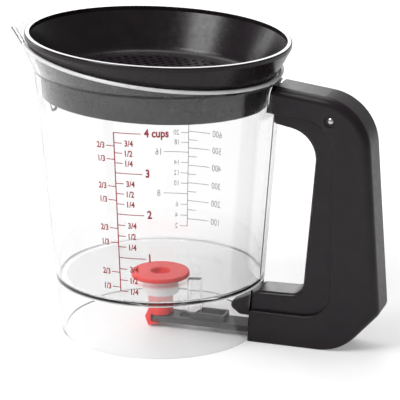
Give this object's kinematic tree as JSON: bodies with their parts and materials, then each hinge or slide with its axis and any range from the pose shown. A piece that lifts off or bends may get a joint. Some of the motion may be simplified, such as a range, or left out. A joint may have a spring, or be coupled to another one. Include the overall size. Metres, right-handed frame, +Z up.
{
  "type": "gravy fat separator",
  "caption": "Clear measuring jug with a drop-in strainer, a pouring spout, and a trigger in the handle that lifts a silicone plug from a drain in its raised floor.",
  "frame": {"origin": "centre of the jug's base ring, on the table", "axes": "+Z up the jug, +X from the jug to its handle, -X to its spout, the scale for cups on the -Y side"},
  "size_m": [0.2064, 0.1392, 0.1632],
  "materials": {
    "clear": "clear glossy plastic",
    "black": "satin black plastic",
    "lever_grey": "dark grey satin plastic",
    "red_silicone": "satin red silicone",
    "steel": "plain steel",
    "red_print": "printed red ink of the cup scale",
    "grey_print": "printed grey ink of the metric scale"
  },
  "bodies": {
    "root": {"jug": "clear", "handle_shell": "black", "trigger_pin": "steel", "return_spring": "steel", "base_screws": "steel", "arm_screw": "steel"},
    "strainer": {"strainer": "black"},
    "trigger": {"trigger": "black"},
    "lever": {"lever": "lever_grey", "lever_axle": "steel"},
    "plug": {"drain_plug": "red_silicone"}
  },
  "joints": [
    {"name": "trigger_squeeze", "type": "hinge", "parent": "root", "child": "trigger", "pos_m": [0.096, 0, 0.1239], "axis": [0, -1, 0], "range_deg": [0, 3.6], "stiffness_Nm_per_rad": 6, "springref_deg": -1.15, "deforming": ["return_spring"]},
    {"name": "lever_rock", "type": "hinge", "parent": "root", "child": "lever", "pos_m": [0.0195, 0, 0.0052], "axis": [0, 1, 0], "range_deg": [0, 3.6]},
    {"name": "plug_lift", "type": "slide", "parent": "root", "child": "plug", "axis": [0, 0, 1], "range_m": [0, 0.00142]},
    {"name": "strainer_lift", "type": "slide", "parent": "root", "child": "strainer", "axis": [0, 0, 1], "range_m": [0, 0.06]}
  ],
  "couplings": [
    {"joint": "lever_rock", "follows": "trigger_squeeze", "ratio": 1},
    {"joint": "plug_lift", "follows": "trigger_squeeze", "m_per_rad": 0.0225}
  ]
}
